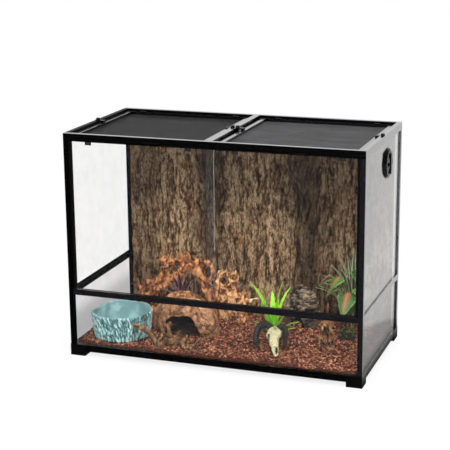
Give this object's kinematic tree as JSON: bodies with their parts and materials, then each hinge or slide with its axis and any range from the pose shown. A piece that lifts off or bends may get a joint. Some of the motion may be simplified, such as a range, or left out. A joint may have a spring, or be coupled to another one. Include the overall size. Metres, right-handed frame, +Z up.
{
  "type": "reptile terrarium",
  "caption": "Front-opening glass terrarium with a black frame, sliding glass doors, lift-off screen lids, a side vent and furnishings: bark wall, chips, bowl, cave, driftwood and plants.",
  "frame": {"origin": "middle of the footprint of the case at the level of the ground", "axes": "+X along the front to the right, +Y from the doors to the rear wall, +Z up"},
  "size_m": [0.923, 0.47, 0.696],
  "materials": {
    "frame_black": "satin black extruded profile",
    "foot_black": "moulded black plastic, fine grain",
    "clear_glass": "clear float glass",
    "door_glass": "clear float glass with ground edges",
    "screen_black": "fine black woven screen",
    "lid_black": "satin black profile",
    "fitting_black": "moulded black plastic",
    "latch_black": "moulded black plastic",
    "vent_black": "moulded black plastic with a soft sheen",
    "bark_brown": "rough vertical bark relief",
    "substrate_chips": "red-brown bark chips",
    "bowl_resin": "turquoise cast resin, bark relief outside",
    "cave_resin": "brown cast resin, stone relief",
    "driftwood": "twisted root wood",
    "root_wood": "small dry roots",
    "bone_resin": "bone-coloured cast resin with dark horns",
    "leaf_bright": "bright green moulded leaves",
    "leaf_mixed": "printed leaves, green with cream and red",
    "rock_dark": "dark rough stone",
    "moss_stone": "dark stone with moss",
    "stump_wood": "weathered stump"
  },
  "bodies": {
    "case": {"base_rail_front": "frame_black", "base_rail_rear": "frame_black", "base_rail_left": "frame_black", "base_rail_right": "frame_black", "foot_front_left": "foot_black", "foot_front_right": "foot_black", "foot_rear_left": "foot_black", "foot_rear_right": "foot_black", "floor_glass": "clear_glass", "post_front_left": "frame_black", "post_front_right": "frame_black", "post_rear_left": "frame_black", "post_rear_right": "frame_black", "mid_rail_front": "frame_black", "mid_rail_rear": "frame_black", "mid_rail_left": "frame_black", "mid_rail_right": "frame_black", "top_rail_front": "frame_black", "top_rail_rear": "frame_black", "top_rail_left": "frame_black", "top_rail_right": "frame_black", "center_bar": "frame_black", "lower_glass_front": "clear_glass", "lower_glass_rear": "clear_glass", "lower_glass_left": "clear_glass", "lower_glass_right": "clear_glass", "upper_glass_rear": "clear_glass", "upper_glass_left": "clear_glass", "upper_glass_right": "clear_glass", "door_track_top": "frame_black", "door_track_bottom": "frame_black", "door_jambs": "frame_black", "vent_flange": "vent_black", "vent_nut": "vent_black", "bark_panel": "bark_brown", "substrate": "substrate_chips", "cave_hide": "cave_resin", "driftwood_left": "driftwood", "driftwood_center": "driftwood", "root_pieces": "root_wood", "ram_skull": "bone_resin", "bromeliad": "leaf_bright", "leafy_plants": "leaf_mixed", "rock_hide": "rock_dark", "mossy_stone": "moss_stone", "stump": "stump_wood"},
    "door_left": {"door_glass_left": "door_glass"},
    "door_right": {"door_glass_right": "door_glass"},
    "lid_left": {"lid_rails_left": "lid_black", "lid_fittings_left": "fitting_black", "lid_screen_left": "screen_black"},
    "lid_right": {"lid_rails_right": "lid_black", "lid_fittings_right": "fitting_black", "lid_screen_right": "screen_black"},
    "latch_left": {"latch_left": "latch_black"},
    "latch_center_left": {"latch_center_left": "latch_black"},
    "latch_center_right": {"latch_center_right": "latch_black"},
    "latch_right": {"latch_right": "latch_black"},
    "vent_dial": {"vent_dial": "vent_black"},
    "water_bowl": {"water_bowl": "bowl_resin"}
  },
  "joints": [
    {"name": "door_left_slide", "type": "slide", "parent": "case", "child": "door_left", "axis": [1, 0, 0], "range_m": [0, 0.42]},
    {"name": "door_right_slide", "type": "slide", "parent": "case", "child": "door_right", "axis": [-1, 0, 0], "range_m": [0, 0.42]},
    {"name": "lid_left_lift", "type": "slide", "parent": "case", "child": "lid_left", "axis": [0, 0, 1], "range_m": [0, 0.15]},
    {"name": "lid_right_lift", "type": "slide", "parent": "case", "child": "lid_right", "axis": [0, 0, 1], "range_m": [0, 0.15]},
    {"name": "latch_left_turn", "type": "hinge", "parent": "case", "child": "latch_left", "pos_m": [-0.4495, 0, 0.69], "axis": [0, 0, 1], "range_deg": [0, 90]},
    {"name": "latch_center_left_turn", "type": "hinge", "parent": "case", "child": "latch_center_left", "pos_m": [-0.0077, 0, 0.69], "axis": [0, 0, -1], "range_deg": [0, 90]},
    {"name": "latch_center_right_turn", "type": "hinge", "parent": "case", "child": "latch_center_right", "pos_m": [0.0077, 0, 0.69], "axis": [0, 0, 1], "range_deg": [0, 90]},
    {"name": "latch_right_turn", "type": "hinge", "parent": "case", "child": "latch_right", "pos_m": [0.4495, 0, 0.69], "axis": [0, 0, -1], "range_deg": [0, 90]},
    {"name": "vent_dial_turn", "type": "hinge", "parent": "case", "child": "vent_dial", "pos_m": [0.4557, 0.055, 0.598], "axis": [1, 0, 0], "range_deg": [0, 30]},
    {"name": "water_bowl_lift", "type": "slide", "parent": "case", "child": "water_bowl", "axis": [0, 0, 1], "range_m": [0, 0.12]}
  ]
}
